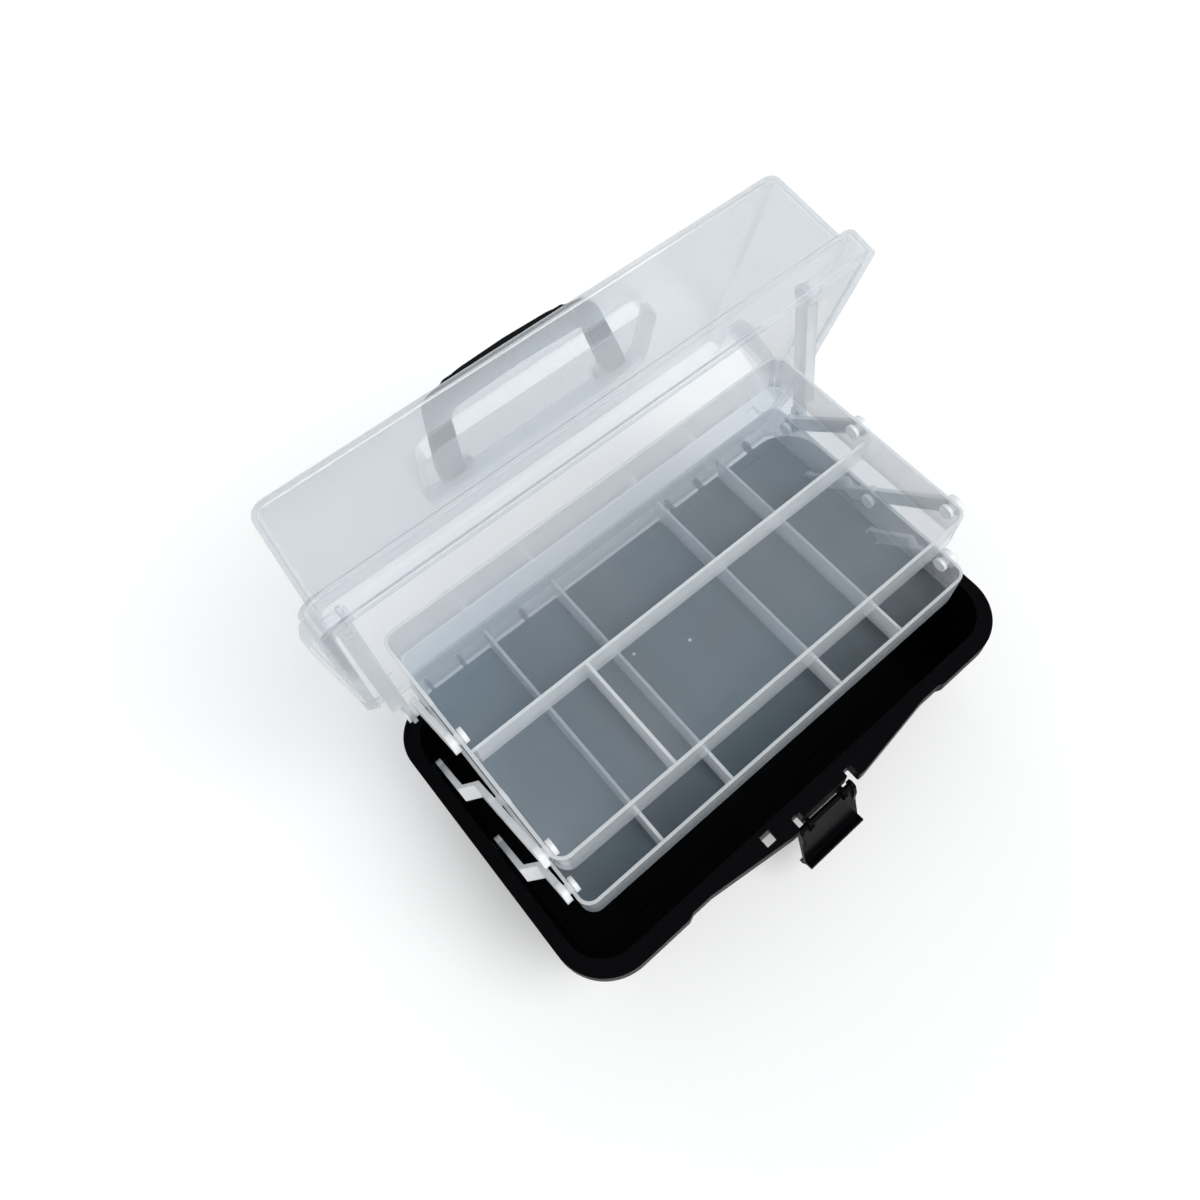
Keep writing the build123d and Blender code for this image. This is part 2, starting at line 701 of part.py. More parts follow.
# Upper tray: one long divider, and one cross divider from it to the front
with BuildPart() as upper_tray:
    tray_middle = (upper_front + upper_back) / 2
    tray_depth = upper_back - upper_front
    with BuildSketch(Plane.XY.offset(upper_rim - tray_height)):
        with Locations((0, tray_middle)):
            RectangleRounded(
                2 * (tray_half_length - tray_draft), tray_depth - 2 * tray_draft, tray_radius
            )
    with BuildSketch(Plane.XY.offset(upper_rim)):
        with Locations((0, tray_middle)):
            RectangleRounded(2 * tray_half_length, tray_depth, tray_radius)
    loft()
    with BuildSketch(Plane.XY.offset(upper_rim - tray_height + tray_floor)):
        with Locations((0, tray_middle)):
            RectangleRounded(
                2 * (tray_half_length - tray_draft - tray_wall),
                tray_depth - 2 * tray_draft - 2 * tray_wall,
                tray_radius - tray_wall,
            )
    with BuildSketch(Plane.XY.offset(upper_rim)):
        with Locations((0, tray_middle)):
            RectangleRounded(
                2 * (tray_half_length - tray_wall), tray_depth - 2 * tray_wall, tray_radius - tray_wall
            )
    loft(mode=Mode.SUBTRACT)
    front_inside = upper_front + tray_draft + tray_wall / 2
    with BuildSketch(Plane.XY.offset(upper_rim - tray_height + tray_floor / 2)):
        with Locations((0, upper_long_divider)):
            Rectangle(2 * (tray_half_length - tray_draft) - tray_wall, divider_thickness)
        with Locations((upper_cross_divider, (front_inside + upper_long_divider) / 2)):
            Rectangle(divider_thickness, upper_long_divider - front_inside)
    extrude(amount=tray_height - divider_drop - tray_floor / 2)
    for side in (-1, 1):
        with BuildSketch(Plane.YZ.offset(side * tray_half_length)):
            with Locations((upper_front_pin_y, upper_pin_z), (upper_rear_pin_y, upper_pin_z)):
                Circle(pin_radius + running_clearance)
        extrude(amount=-side * pin_hole_length, mode=Mode.SUBTRACT)
upper_tray.part.label = "upper_tray"
export_step(upper_tray.part, "parts/upper_tray.step")


# Arms: each is drawn along its own slope, 45 degrees up and forward. Local x runs along the arm.
slope = (0, -math.sqrt(0.5), math.sqrt(0.5))
across = (0, math.sqrt(0.5), math.sqrt(0.5))
arm_outer_face = arm_outer_x + arm_thickness
arm_inner_face = arm_inner_x + arm_thickness
pin_head_x = tray_half_length - tray_wall - wall_draft_at_pin - pin_head_gap

# Front arm: base stud to the lower tray's front pin, stepping inward on the way
front_arm_origin = (0, front_arm_base_y, arm_base_z)
with BuildPart() as front_arm_right:
    with BuildSketch(Plane(origin=front_arm_origin, x_dir=slope, z_dir=across)):
        with BuildLine():
            Polyline(
                (-arm_eye_radius, arm_outer_x),
                (front_joggle, arm_outer_x),
                (front_joggle + joggle_length, arm_inner_x),
                (lower_arm_length + arm_eye_radius, arm_inner_x),
                (lower_arm_length + arm_eye_radius, arm_inner_face),
                (front_joggle + joggle_length + 1, arm_inner_face),
                (front_joggle + 1, arm_outer_face),
                (-arm_eye_radius, arm_outer_face),
                close=True,
            )
        make_face()
    extrude(amount=arm_eye_radius, both=True)
    with BuildSketch(Plane(origin=front_arm_origin, x_dir=slope, z_dir=(1, 0, 0))):
        with Locations((lower_arm_length / 2, 0)):
            Rectangle(lower_arm_length, arm_width)
        with Locations((0, 0), (lower_arm_length, 0)):
            Circle(arm_eye_radius)
        Circle(stud_radius + running_clearance, mode=Mode.SUBTRACT)
    extrude(amount=rim_half_length, mode=Mode.INTERSECT)
    with BuildSketch(Plane.YZ.offset(arm_inner_x + 1)):
        with Locations((front_pin_y, pin_z)):
            Circle(pin_radius)
    extrude(amount=pin_head_x - arm_inner_x - 1)
    with BuildSketch(Plane.YZ.offset(pin_head_x)):
        with Locations((front_pin_y, pin_z)):
            Circle(pin_head_radius)
    extrude(amount=-pin_head_thickness)
front_arm_right.part.label = "front_arm_right"
export_step(front_arm_right.part, "parts/front_arm_right.step")

with BuildPart() as front_arm_left:
    mirror(front_arm_right.part, about=Plane.YZ)
front_arm_left.part.label = "front_arm_left"
export_step(front_arm_left.part, "parts/front_arm_left.step")

# Middle arm: base stud, the lower tray's middle pin, then on to the upper tray's front pin
middle_arm_origin = (0, middle_arm_base_y, arm_base_z)
middle_arm_length = lower_arm_length + upper_arm_length
with BuildPart() as middle_arm_right:
    with BuildSketch(Plane(origin=middle_arm_origin, x_dir=slope, z_dir=across)):
        with BuildLine():
            Polyline(
                (-arm_eye_radius, arm_outer_x),
                (middle_joggle, arm_outer_x),
                (middle_joggle + joggle_length, arm_inner_x),
                (middle_arm_length + arm_eye_radius, arm_inner_x),
                (middle_arm_length + arm_eye_radius, arm_inner_face),
                (middle_joggle + joggle_length + 1, arm_inner_face),
                (middle_joggle + 1, arm_outer_face),
                (-arm_eye_radius, arm_outer_face),
                close=True,
            )
        make_face()
    extrude(amount=arm_eye_radius, both=True)
    with BuildSketch(Plane(origin=middle_arm_origin, x_dir=slope, z_dir=(1, 0, 0))):
        with Locations((middle_arm_length / 2, 0)):
            Rectangle(middle_arm_length, arm_width)
        with Locations((0, 0), (lower_arm_length, 0), (middle_arm_length, 0)):
            Circle(arm_eye_radius)
        Circle(stud_radius + running_clearance, mode=Mode.SUBTRACT)
    extrude(amount=rim_half_length, mode=Mode.INTERSECT)
    with BuildSketch(Plane.YZ.offset(arm_inner_x + 1)):
        with Locations((middle_pin_y, pin_z), (upper_front_pin_y, upper_pin_z)):
            Circle(pin_radius)
    extrude(amount=pin_head_x - arm_inner_x - 1)
    with BuildSketch(Plane.YZ.offset(pin_head_x)):
        with Locations((middle_pin_y, pin_z), (upper_front_pin_y, upper_pin_z)):
            Circle(pin_head_radius)
    extrude(amount=-pin_head_thickness)
middle_arm_right.part.label = "middle_arm_right"
export_step(middle_arm_right.part, "parts/middle_arm_right.step")

with BuildPart() as middle_arm_left:
    mirror(middle_arm_right.part, about=Plane.YZ)
middle_arm_left.part.label = "middle_arm_left"
export_step(middle_arm_left.part, "parts/middle_arm_left.step")

# Rear arm: lower tray's rear pin to the upper tray's rear pin, with an outward stud for the link
with BuildPart() as rear_arm_right:
    with BuildSketch(Plane(origin=(arm_inner_x, rear_pin_y, pin_z), x_dir=slope, z_dir=(1, 0, 0))):
        with Locations((upper_arm_length / 2, 0)):
            Rectangle(upper_arm_length, arm_width)
        with Locations((0, 0), (upper_arm_length, 0)):
            Circle(arm_eye_radius)
    extrude(amount=arm_thickness)
    with BuildSketch(Plane.YZ.offset(arm_inner_x + 1)):
        with Locations((rear_pin_y, pin_z), (upper_rear_pin_y, upper_pin_z)):
            Circle(pin_radius)
    extrude(amount=pin_head_x - arm_inner_x - 1)
    with BuildSketch(Plane.YZ.offset(pin_head_x)):
        with Locations((rear_pin_y, pin_z), (upper_rear_pin_y, upper_pin_z)):
            Circle(pin_head_radius)
    extrude(amount=-pin_head_thickness)
    with BuildSketch(Plane.YZ.offset(arm_inner_face)):
        with Locations((rear_pin_y, pin_z)):
            Circle(link_collar_radius)
    extrude(amount=link_x - stud_head_gap - arm_inner_face)
    with BuildSketch(Plane.YZ.offset(arm_inner_face)):
        with Locations((rear_pin_y, pin_z)):
            Circle(link_stud_radius)
    extrude(amount=link_x + link_thickness + stud_head_gap - arm_inner_face)
    with BuildSketch(Plane.YZ.offset(link_x + link_thickness + stud_head_gap)):
        with Locations((rear_pin_y, pin_z)):
            Circle(stud_head_radius + 0.6)
    extrude(amount=stud_head_thickness)
rear_arm_right.part.label = "rear_arm_right"
export_step(rear_arm_right.part, "parts/rear_arm_right.step")

with BuildPart() as rear_arm_left:
    mirror(rear_arm_right.part, about=Plane.YZ)
rear_arm_left.part.label = "rear_arm_left"
export_step(rear_arm_left.part, "parts/rear_arm_left.step")

# Lid link: lid stud to the rear pin of the lower tray, where a short slot takes up the difference
link_top = lid_plane.from_local_coords((0, link_pivot_y, link_pivot_z))
link_run = Vector(0, rear_pin_y - link_top.Y, pin_z - link_top.Z)
link_plane = Plane(origin=(link_x, link_top.Y, link_top.Z), x_dir=link_run, z_dir=(1, 0, 0))
link_far_low = link_run.length - link_slot_under
link_far_high = link_run.length + link_slot_over
slot_reach = link_far_high - link_far_low
slot_radius = link_stud_radius + link_slot_clearance
flange_middle = (link_flange_start + link_flange_end) / 2
flange_offset = (link_width - link_flange_thickness) / 2
with BuildPart() as lid_link_right:
    with BuildSketch(link_plane):
        with Locations((link_far_low / 2, 0)):
            Rectangle(link_far_low, link_width)
        Circle(arm_eye_radius)
        with Locations(((link_far_low + link_far_high) / 2, 0)):
            SlotCenterToCenter(slot_reach, 2 * (slot_radius + 3))
        Circle(stud_radius + running_clearance, mode=Mode.SUBTRACT)
        with Locations(((link_far_low + link_far_high) / 2, 0)):
            SlotCenterToCenter(slot_reach, 2 * slot_radius, mode=Mode.SUBTRACT)
    extrude(amount=link_thickness)
    # stiffening flanges along both long edges, turned outward
    with BuildSketch(link_plane.offset(link_thickness / 2)):
        with Locations((flange_middle, flange_offset), (flange_middle, -flange_offset)):
            Rectangle(link_flange_end - link_flange_start, link_flange_thickness)
    extrude(amount=link_thickness / 2 + link_flange_height)
lid_link_right.part.label = "lid_link_right"
export_step(lid_link_right.part, "parts/lid_link_right.step")

with BuildPart() as lid_link_left:
    mirror(lid_link_right.part, about=Plane.YZ)
lid_link_left.part.label = "lid_link_left"
export_step(lid_link_left.part, "parts/lid_link_left.step")
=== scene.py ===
import math

import bmesh
import bpy
from mathutils import Matrix, Vector


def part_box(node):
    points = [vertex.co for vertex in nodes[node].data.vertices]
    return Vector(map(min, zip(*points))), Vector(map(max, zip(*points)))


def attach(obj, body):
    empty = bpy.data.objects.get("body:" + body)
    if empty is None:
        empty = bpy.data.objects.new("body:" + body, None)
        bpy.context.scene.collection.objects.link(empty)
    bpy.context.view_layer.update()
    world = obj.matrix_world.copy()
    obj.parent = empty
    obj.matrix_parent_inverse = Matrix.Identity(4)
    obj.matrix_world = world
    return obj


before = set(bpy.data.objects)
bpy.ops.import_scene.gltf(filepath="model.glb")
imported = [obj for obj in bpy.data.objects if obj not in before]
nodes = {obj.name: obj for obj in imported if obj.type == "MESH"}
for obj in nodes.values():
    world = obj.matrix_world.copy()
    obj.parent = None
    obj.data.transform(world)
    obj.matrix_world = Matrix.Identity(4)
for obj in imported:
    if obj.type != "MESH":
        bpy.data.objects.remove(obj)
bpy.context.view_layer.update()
scene = bpy.context.scene

WHITE = (1, 1, 1)


# ---------------------------------------------------------------- node helpers
def material(name):
    made = bpy.data.materials.new(name)
    made.use_nodes = True
    made.node_tree.nodes.clear()
    return made, made.node_tree


def feed(tree, value, socket):
    """value is a constant for the socket, or another socket to link to it."""
    if isinstance(value, bpy.types.NodeSocket):
        tree.links.new(value, socket)
    elif socket.type == "RGBA":
        socket.default_value = (*value, 1)
    else:
        socket.default_value = value


def node(tree, kind, inputs=None, **settings):
    """inputs holds values under the name or the number of the input that takes them."""
    made = tree.nodes.new(kind)
    for key, value in settings.items():
        setattr(made, key, value)
    for key, value in (inputs or {}).items():
        feed(tree, value, made.inputs[key])
    return made


def place(tree, stretch=(1, 1, 1)):
    """Coordinates on the piece itself, in metres, each times its stretch."""
    coords = node(tree, "ShaderNodeTexCoord").outputs["Object"]
    return node(tree, "ShaderNodeMapping", {"Vector": coords, "Scale": stretch}).outputs["Vector"]


def noise(tree, where, scale, detail, rough):
    return node(tree, "ShaderNodeTexNoise", {
        "Vector": where, "Scale": scale, "Detail": detail, "Roughness": rough}).outputs["Fac"]


def ramp(tree, value, span, results):
    """Carries a value from the range span over to the range results, and stops at its ends."""
    return node(tree, "ShaderNodeMapRange", {
        "Value": value, "From Min": span[0], "From Max": span[1],
        "To Min": results[0], "To Max": results[1]}, clamp=True).outputs["Result"]


def maths(tree, kind, a, b=None):
    inputs = {0: a} if b is None else {0: a, 1: b}
    return node(tree, "ShaderNodeMath", inputs, operation=kind).outputs[0]


def blend(tree, amount, low, high):
    """low and high are colours, or sockets that carry one."""
    made = node(tree, "ShaderNodeMix", {"Factor": amount}, data_type="RGBA")
    ends = [socket for socket in made.inputs if socket.type == "RGBA"]
    for socket, colour in zip(ends, (low, high)):
        feed(tree, colour, socket)
    return next(socket for socket in made.outputs if socket.type == "RGBA")


def edges(tree, radius):
    """The normal with its edges rounded, and a value that is 1 along the sharp edges of the
    piece and 0 on its flat faces."""
    rounded = node(tree, "ShaderNodeBevel", {"Radius": radius}, samples=6).outputs["Normal"]
    plain = node(tree, "ShaderNodeNewGeometry").outputs["Normal"]
    dot = node(tree, "ShaderNodeVectorMath", {0: rounded, 1: plain}, operation="DOT_PRODUCT")
    return rounded, ramp(tree, dot.outputs["Value"], (0.995, 0.8), (0, 1))


def bump(tree, height, distance, strength, under):
    return node(tree, "ShaderNodeBump", {
        "Height": height, "Distance": distance, "Strength": strength,
        "Normal": under}).outputs["Normal"]


def mix_shaders(tree, amount, first, second):
    return node(tree, "ShaderNodeMixShader",
                {"Fac": amount, 1: first, 2: second}).outputs["Shader"]


def output(tree, shader):
    node(tree, "ShaderNodeOutputMaterial", {"Surface": shader})


def seen_directly(tree):
    """1 for rays of the camera, of glossy reflections and through plastic, 0 for other light."""
    path = node(tree, "ShaderNodeLightPath").outputs
    seen = maths(tree, "MAXIMUM", path["Is Camera Ray"], path["Is Glossy Ray"])
    return maths(tree, "MAXIMUM", seen, path["Is Transmission Ray"])


# ---------------------------------------------------------------- materials
BLACK_DEEP = (0.0014, 0.0015, 0.0019)
BLACK_CLOUD = (0.0027, 0.0029, 0.0036)
# the colour of the sharp edges: partly rubbed wear, partly a painted highlight that keeps the
# black edges visible
BLACK_WORN_HIGHLIGHT = (0.008, 0.0085, 0.0095)
BLACK_IOR = 1.5
BLACK_SPECULAR = 0.02

CLEAR_IOR = 1.49
CLEAR_SPECULAR = 0.5
SKIN_IOR = 1.33
SKIN_SHARE = 0.5
SLANTED = 0.6                       # the share of the clearness that is left at a low angle

TRAY_FLOOR = 0.0018                 # the floor's height over the tray's underside
TRAY_SHELL = 0.00441                # how far in from the box faces the outside walls reach
TRAY_FLOOR_CLEAR = 0.85             # shares of light that go straight on
TRAY_OUTSIDE_CLEAR = 0.78
# the rims and divider tops let less through, as part of their painted highlight
TRAY_CREST_HIGHLIGHT_CLEAR = 0.35
TRAY_WALL_PASSED = (0.985, 0.99, 1.0)   # the colour of that light
TRAY_FLOOR_BLUE = (0.62, 0.80, 0.92)
TRAY_FLOOR_PALE = (0.80, 0.86, 0.91)
# the paler colour of the rims and divider tops: a painted highlight for the light their edges
# gather
TRAY_CREST_HIGHLIGHT = (0.93, 0.95, 0.96)


def black_plastic(name, shine, grain):
    """Moulded black plastic: shine is its roughness and grain the scale of its fine grain."""
    made, tree = material(name)
    where = place(tree)
    rounded, rim = edges(tree, radius=0.0007)

    cloud = noise(tree, where, scale=38, detail=4, rough=0.6)
    colour = blend(tree, cloud, BLACK_DEEP, BLACK_CLOUD)
    # the sharp edges are painted lighter where the scuffs fall: partly wear, partly a painted
    # highlight that shows the shape of the black parts
    scuffs = noise(tree, where, scale=210, detail=5, rough=0.65)
    worn_highlight = maths(tree, "MULTIPLY", rim, ramp(tree, scuffs, (0.42, 0.66), (0.15, 1)))
    colour = blend(tree, worn_highlight, colour, BLACK_WORN_HIGHLIGHT)

    patches = noise(tree, where, scale=26, detail=5, rough=0.62)
    dust = noise(tree, where, scale=640, detail=3, rough=0.6)
    roughness = maths(tree, "ADD",
                      ramp(tree, patches, (0.3, 0.72), (shine - 0.05, shine + 0.07)),
                      ramp(tree, dust, (0.35, 0.75), (-0.02, 0.05)))

    sink = noise(tree, where, scale=11, detail=2, rough=0.4)
    waves = bump(tree, sink, distance=0.0012, strength=0.2, under=rounded)
    fine = noise(tree, where, scale=grain, detail=3, rough=0.6)
    surface = bump(tree, fine, distance=0.00005, strength=0.5, under=waves)

    body = node(tree, "ShaderNodeBsdfPrincipled", {
        "Base Color": colour, "Roughness": roughness, "Normal": surface,
        "Specular IOR Level": BLACK_SPECULAR, "IOR": BLACK_IOR})
    output(tree, body.outputs["BSDF"])
    return made


def tray_faces(tree, where, tray):
    """Three values that are 1 on some of a tray's faces and 0 on the rest: on its floor, on its
    rims and divider tops, and on its outside walls."""
    low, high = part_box(tray)
    level = low[2] + TRAY_FLOOR
    normal = node(tree, "ShaderNodeTexCoord").outputs["Normal"]
    tilt = node(tree, "ShaderNodeSeparateXYZ", {"Vector": normal}).outputs["Z"]
    flat = ramp(tree, maths(tree, "ABSOLUTE", tilt), (0.6, 0.95), (0, 1))
    here = node(tree, "ShaderNodeSeparateXYZ", {"Vector": where}).outputs
    raised = ramp(tree, here["Z"], (level + 0.003, level + 0.004), (0, 1))
    bottom = maths(tree, "MULTIPLY", flat, maths(tree, "SUBTRACT", 1.0, raised))
    crest = maths(tree, "MULTIPLY", flat, raised)

    left = maths(tree, "LESS_THAN", here["X"], low[0] + TRAY_SHELL)
    right = maths(tree, "GREATER_THAN", here["X"], high[0] - TRAY_SHELL)
    front = maths(tree, "LESS_THAN", here["Y"], low[1] + TRAY_SHELL)
    rear = maths(tree, "GREATER_THAN", here["Y"], high[1] - TRAY_SHELL)
    shell = maths(tree, "MAXIMUM", maths(tree, "MAXIMUM", left, right),
                  maths(tree, "MAXIMUM", front, rear))
    return bottom, crest, shell


def clear_plastic(name, walls, glow, tint, pale, edge_light, shine=0.2, relief=1.0, lines=0.0,
                  passed=(0.99, 0.996, 1.0), tray=None):
    """Milky see-through plastic. walls is the share of light that goes straight on at each face,
    and passed its colour. glow is the share of the rest that shines through from behind.
    edge_light is the share that the sharp edges hold back, lines that of the streaks, and relief
    the depth of the waves. tray is a tray's node: its floor, rims and outside walls let through
    shares of their own, and its rims and divider tops are painted paler as a painted highlight."""
    made, tree = material(name)
    where = place(tree)
    rounded, rim = edges(tree, radius=0.0006)
    facing = node(tree, "ShaderNodeLayerWeight", {"Blend": 0.35}).outputs["Facing"]
    mottle = maths(tree, "MULTIPLY", noise(tree, where, scale=17, detail=4, rough=0.6),
                   noise(tree, place(tree, (1, 0.25, 1)), scale=46, detail=3, rough=0.5))
    streaks = noise(tree, place(tree, (0.06, 1.6, 1.6)), scale=330, detail=3, rough=0.6)
    colour = blend(tree, ramp(tree, mottle, (0.12, 0.42), (0, 1)), tint, pale)

    sink = noise(tree, where, scale=9, detail=2, rough=0.4)
    waves = bump(tree, sink, distance=0.0008, strength=0.15 * relief, under=rounded)
    fine = noise(tree, where, scale=900, detail=2, rough=0.5)
    surface = bump(tree, fine, distance=0.00002, strength=0.3, under=waves)

    if tray is None:
        clear = ramp(tree, facing, (0.35, 0.95), (walls, walls * SLANTED))
    else:
        bottom, crest, shell = tray_faces(tree, where, tray)
        upright = ramp(tree, shell, (0, 1), (walls, TRAY_OUTSIDE_CLEAR))
        clear = maths(tree, "ADD",
                      maths(tree, "MULTIPLY", upright, maths(tree, "SUBTRACT", 1.0, bottom)),
                      maths(tree, "MULTIPLY", bottom, TRAY_FLOOR_CLEAR))
        # the rims and divider tops are made less clear, as part of their painted highlight
        clear = maths(tree, "MULTIPLY", clear, ramp(tree, crest, (0, 1), (1, TRAY_CREST_HIGHLIGHT_CLEAR)))
        clear = maths(tree, "MULTIPLY", clear, ramp(tree, facing, (0.45, 1.0), (1, SLANTED)))
        passed = blend(tree, bottom, TRAY_WALL_PASSED, passed)
        drift = noise(tree, where, scale=6, detail=2, rough=0.5)
        deep = blend(tree, ramp(tree, drift, (0.35, 0.65), (0, 1)),
                     TRAY_FLOOR_BLUE, TRAY_FLOOR_PALE)
        # the rims and divider tops take the painted highlight colour
        colour = blend(tree, crest, blend(tree, bottom, colour, deep), TRAY_CREST_HIGHLIGHT)
    for value, span, results in ((mottle, (0.1, 0.45), (1.01, 0.985)),
                                 (streaks, (0.35, 0.75), (1 + 0.4 * lines, 1 - lines)),
                                 (rim, (0, 1), (1, 1 - edge_light))):
        clear = maths(tree, "MULTIPLY", clear, ramp(tree, value, span, results))

    patches = noise(tree, where, scale=60, detail=4, rough=0.6)
    body = node(tree, "ShaderNodeBsdfPrincipled", {
        "Base Color": colour, "Normal": surface,
        "Roughness": ramp(tree, patches, (0.3, 0.7), (shine - 0.03, shine + 0.06)),
        "Specular IOR Level": CLEAR_SPECULAR, "IOR": CLEAR_IOR})
    behind = node(tree, "ShaderNodeBsdfTranslucent", {"Color": colour})
    milk = mix_shaders(tree, glow, body.outputs["BSDF"], behind.outputs["BSDF"])
    straight = node(tree, "ShaderNodeBsdfTransparent", {"Color": passed})
    bulk = mix_shaders(tree, clear, milk, straight.outputs["BSDF"])

    gloss = node(tree, "ShaderNodeBsdfAnisotropic", {"Roughness": shine * 0.7, "Normal": surface})
    skin = node(tree, "ShaderNodeFresnel", {"IOR": SKIN_IOR, "Normal": surface})
    sheen = maths(tree, "MULTIPLY", skin.outputs["Fac"], SKIN_SHARE)
    output(tree, mix_shaders(tree, sheen, bulk, gloss.outputs["BSDF"]))
    return made


def dress(name, made):
    target = nodes[name]
    target.data.materials.clear()
    target.data.materials.append(made)


milky = {"tint": (0.86, 0.89, 0.915), "pale": (0.92, 0.945, 0.96)}

tub_black = black_plastic("tub_black", shine=0.34, grain=1500)
trim_black = black_plastic("trim_black", shine=0.27, grain=1900)
lid_clear = clear_plastic("lid_clear", walls=0.84, glow=0.5, tint=(0.85, 0.925, 0.99),
                          pale=(0.93, 0.97, 1.0), edge_light=0.4, passed=(0.996, 0.998, 1.0))
tray_clear = {name: clear_plastic(f"{name}_clear", walls=0.42, glow=0.45, edge_light=0.45,
                                  relief=0.3, lines=0.015, passed=(0.90, 0.905, 0.915),
                                  tray=name, **milky)
              for name in ("upper_tray", "lower_tray")}
link_clear = clear_plastic("link_clear", walls=0.62, glow=0.4, tint=(0.90, 0.93, 0.95),
                           pale=(0.95, 0.965, 0.975), edge_light=0.4)
arm_milky = clear_plastic("arm_milky", walls=0.08, glow=0.12, tint=(0.93, 0.945, 0.955),
                          pale=(0.97, 0.98, 0.985), edge_light=0.3, shine=0.3)
tray_mark = clear_plastic("tray_mark", walls=0.6, glow=0.3, edge_light=0.3, **milky)

dress("base_tub", tub_black)
dress("handle", trim_black)
dress("latch", trim_black)
dress("lid_shell", lid_clear)
for name, made in tray_clear.items():
    dress(name, made)
for side in ("right", "left"):
    for name in ("front_arm", "middle_arm", "rear_arm"):
        dress(f"{name}_{side}", arm_milky)
    dress(f"lid_link_{side}", link_clear)


# ---------------------------------------------------------------- small moulded details
def add(name, data):
    made = bpy.data.objects.new(name, data)
    scene.collection.objects.link(made)
    return made


def add_mesh(name, shape, made):
    mesh = bpy.data.meshes.new(name)
    shape.to_mesh(mesh)
    shape.free()
    mesh.materials.append(made)
    return add(name, mesh)


def piece(name, shape, made, body):
    new = add_mesh(name, shape, made)
    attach(new, body)


def slab(outline, low_y, high_y, soft):
    """An outline in x and z between two depths, with softened edges."""
    shape = bmesh.new()
    near = [shape.verts.new((x, low_y, z)) for x, z in outline]
    far = [shape.verts.new((x, high_y, z)) for x, z in outline]
    shape.faces.new(near)
    shape.faces.new(far[::-1])
    for i in range(len(outline)):
        j = (i + 1) % len(outline)
        shape.faces.new((near[j], near[i], far[i], far[j]))
    bmesh.ops.recalc_face_normals(shape, faces=shape.faces)
    bmesh.ops.bevel(shape, geom=shape.edges[:], offset=soft, segments=2, affect="EDGES",
                    clamp_overlap=True)
    return shape


# the web behind the latch's rod, which hangs from the front flange between the two ears
web_half, web_foot_half = 0.0119, 0.0100
web_top, web_turn, web_foot = 0.0798, 0.0705, 0.0690
web_front, web_back = -0.10255, -0.1012
web_soft = 0.0003
web_outline = [(-web_half, web_top), (-web_half, web_turn), (-web_foot_half, web_foot),
               (web_foot_half, web_foot), (web_half, web_turn), (web_half, web_top)]
piece("latch_web", slab(web_outline, web_front, web_back, web_soft),
      tub_black, "base")

# the round marks that the injection gates leave: a low ring about a shallow dimple
MARK_RINGS = ((0.0010, 0.0), (0.0009, 0.0002), (0.0007, 0.0003), (0.0004, 0.00016),
              (0.0002, 0.0003))     # radius, height
MARK_STEPS = 24
MARK_PLACES = ((-0.0144, -0.0034), (-0.0423, 0.0103))


def gate_marks(places, level):
    shape = bmesh.new()
    for x, y in places:
        loops = []
        for radius, rise in MARK_RINGS:
            turns = [2 * math.pi * i / MARK_STEPS for i in range(MARK_STEPS)]
            loops.append([shape.verts.new((x + radius * math.cos(turn),
                                           y + radius * math.sin(turn), level + rise))
                          for turn in turns])
        for outer, inner in zip(loops, loops[1:]):
            for i in range(MARK_STEPS):
                j = (i + 1) % MARK_STEPS
                shape.faces.new((outer[i], outer[j], inner[j], inner[i]))
        shape.faces.new(loops[-1])
    return shape


piece("upper_tray_gate_marks", gate_marks(MARK_PLACES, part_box("upper_tray")[0][2] + TRAY_FLOOR),
      tray_mark, "upper_tray")


# ---------------------------------------------------------------- floor and light
FLOOR_HALF = 4.0                    # metres
FLOOR_GREYS = ((0.79, 0.79, 0.79), (0.81, 0.81, 0.81))
FLOOR_LIFT = 0.24                   # light added where the floor is seen, for a pale ground
SKY_COLOUR = (0.96, 0.98, 1.0)
SKY_HORIZON, SKY_ZENITH = 1.05, 0.34    # strengths
SKY_ZENITH_FROM = 0.8               # the upward share of a direction where the zenith begins


def floor_material():
    made, tree = material("pale_floor")
    cloud = noise(tree, place(tree), scale=3, detail=3, rough=0.5)
    body = node(tree, "ShaderNodeBsdfDiffuse", {"Color": blend(tree, cloud, *FLOOR_GREYS)})
    lift = node(tree, "ShaderNodeEmission", {
        "Color": WHITE, "Strength": maths(tree, "MULTIPLY", seen_directly(tree), FLOOR_LIFT)})
    total = node(tree, "ShaderNodeAddShader",
                 {0: body.outputs["BSDF"], 1: lift.outputs["Emission"]})
    output(tree, total.outputs["Shader"])
    return made


grid = bmesh.new()
bmesh.ops.create_grid(grid, x_segments=12, y_segments=12, size=FLOOR_HALF)
floor = add_mesh("floor", grid, floor_material())

# light comes from a sky that is brighter near the ground, and white is seen behind the part
world = bpy.data.worlds.new("studio")
scene.world = world
world.use_nodes = True
sky = world.node_tree
sky.nodes.clear()
upward = node(sky, "ShaderNodeSeparateXYZ",
              {"Vector": node(sky, "ShaderNodeTexCoord").outputs["Generated"]}).outputs["Z"]
soft = node(sky, "ShaderNodeBackground", {
    "Color": SKY_COLOUR,
    "Strength": ramp(sky, upward, (0.0, SKY_ZENITH_FROM), (SKY_HORIZON, SKY_ZENITH))})
white = node(sky, "ShaderNodeBackground", {"Color": WHITE, "Strength": 1.0})
node(sky, "ShaderNodeOutputWorld", {
    "Surface": mix_shaders(sky, seen_directly(sky), soft.outputs["Background"],
                           white.outputs["Background"])})


def turn_towards(made, direction):
    made.rotation_mode = "QUATERNION"
    made.rotation_quaternion = direction.to_track_quat("-Z", "Y")


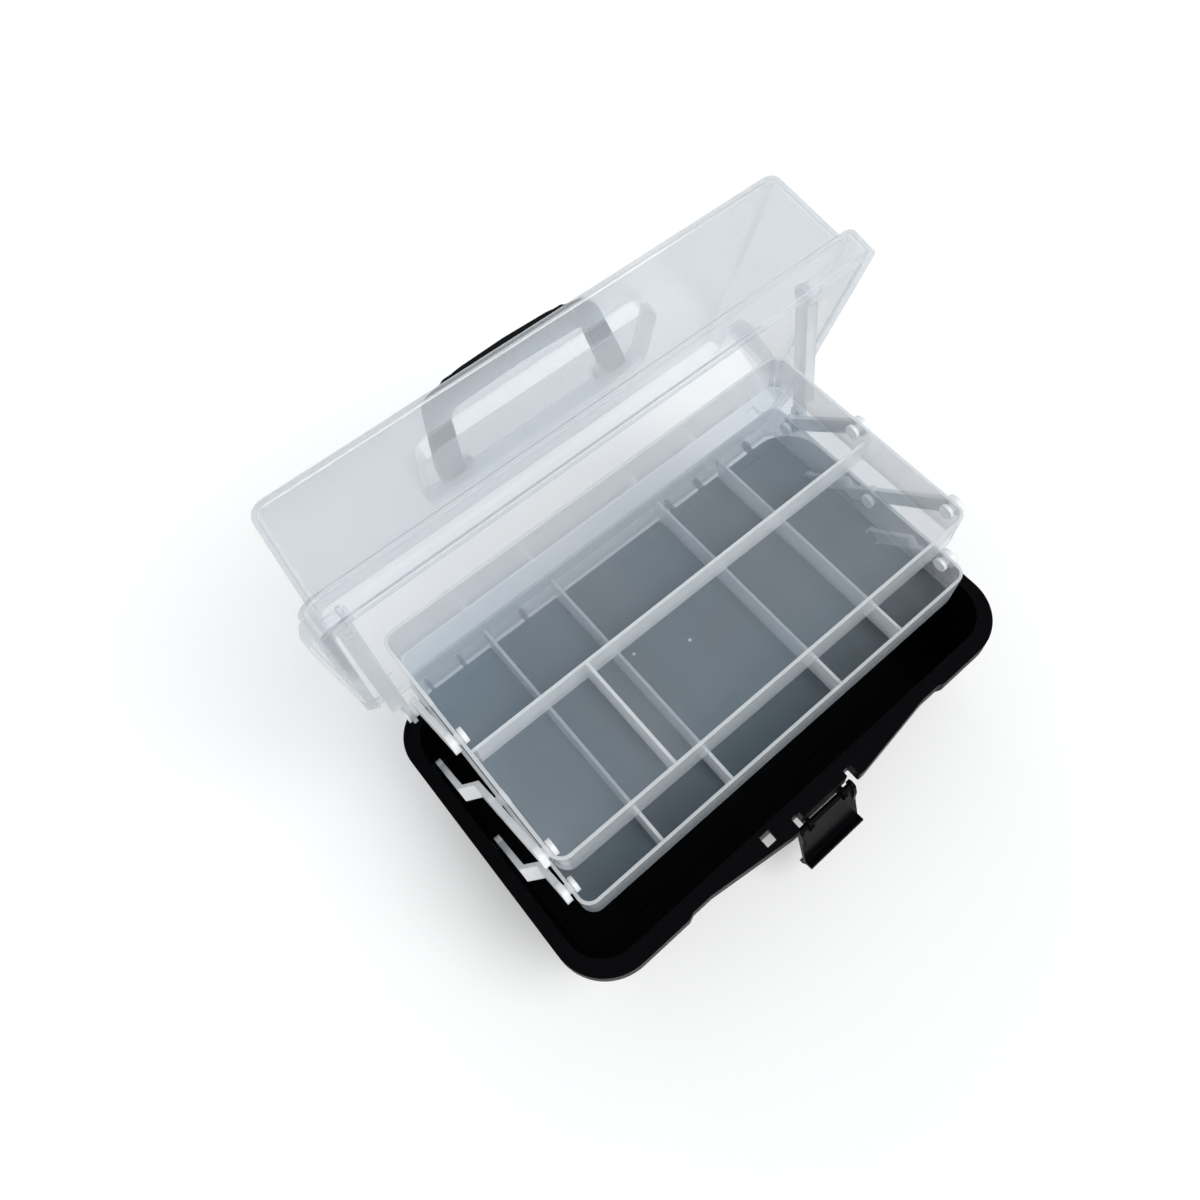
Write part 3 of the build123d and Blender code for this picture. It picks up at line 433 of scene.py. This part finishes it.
def lamp(name, where, aim, size, power, colour=WHITE):
    data = bpy.data.lights.new(name, "AREA")
    data.shape = "RECTANGLE"
    data.size, data.size_y = size
    data.energy = power
    data.color = colour
    made = add(name, data)
    made.location = where
    turn_towards(made, Vector(aim) - Vector(where))


sun_data = bpy.data.lights.new("key_light", "SUN")
sun_data.energy = 1.6
sun_data.angle = 0.6
turn_towards(add("key_light", sun_data), Vector((-0.23, 0.49, -0.84)))
lamp("right_fill", where=(0.9, -1.1, 0.6), aim=(0.1, 0.15, 0.2), size=(1.0, 0.8), power=2.4)
lamp("left_fill", where=(-1.2, -0.3, 0.5), aim=(-0.1, 0.1, 0.15), size=(1.0, 0.8), power=1.6)
lamp("back_light", where=(0.2, 1.5, 1.1), aim=(0, 0.1, 0.15), size=(1.4, 0.7), power=3,
     colour=(0.97, 0.98, 1.0))


# ---------------------------------------------------------------- camera
# looks down on the front left corner, with its lens, place and axes solved from the photograph
PHOTO_SIDE = 1200                   # pixels
FOCAL_LENGTH = 1052.019             # pixels
PHOTO_CENTRE = (676.314, 509.995)   # pixels, where the camera's axis meets the photograph
SENSOR_WIDTH = 36.0                 # mm
CAMERA_PLACE = (-0.166178, -0.176828, 0.682287)
RIGHT = Vector((0.754138, -0.656587, -0.013001))
DOWN = Vector((-0.568828, -0.643191, -0.512583))
AHEAD = Vector((0.328193, 0.393953, -0.858539))

camera_data = bpy.data.cameras.new("camera")
camera_data.sensor_fit = "HORIZONTAL"
camera_data.sensor_width = SENSOR_WIDTH
camera_data.lens = SENSOR_WIDTH * FOCAL_LENGTH / PHOTO_SIDE
camera_data.shift_x = (PHOTO_SIDE / 2 - PHOTO_CENTRE[0]) / PHOTO_SIDE
camera_data.shift_y = (PHOTO_CENTRE[1] - PHOTO_SIDE / 2) / PHOTO_SIDE
camera_data.clip_start, camera_data.clip_end = 0.02, 30
camera = add("camera", camera_data)
turn = Matrix((RIGHT, -DOWN, -AHEAD)).transposed().to_4x4()
camera.matrix_world = Matrix.Translation(CAMERA_PLACE) @ turn
scene.camera = camera

scene.view_settings.view_transform = "Standard"
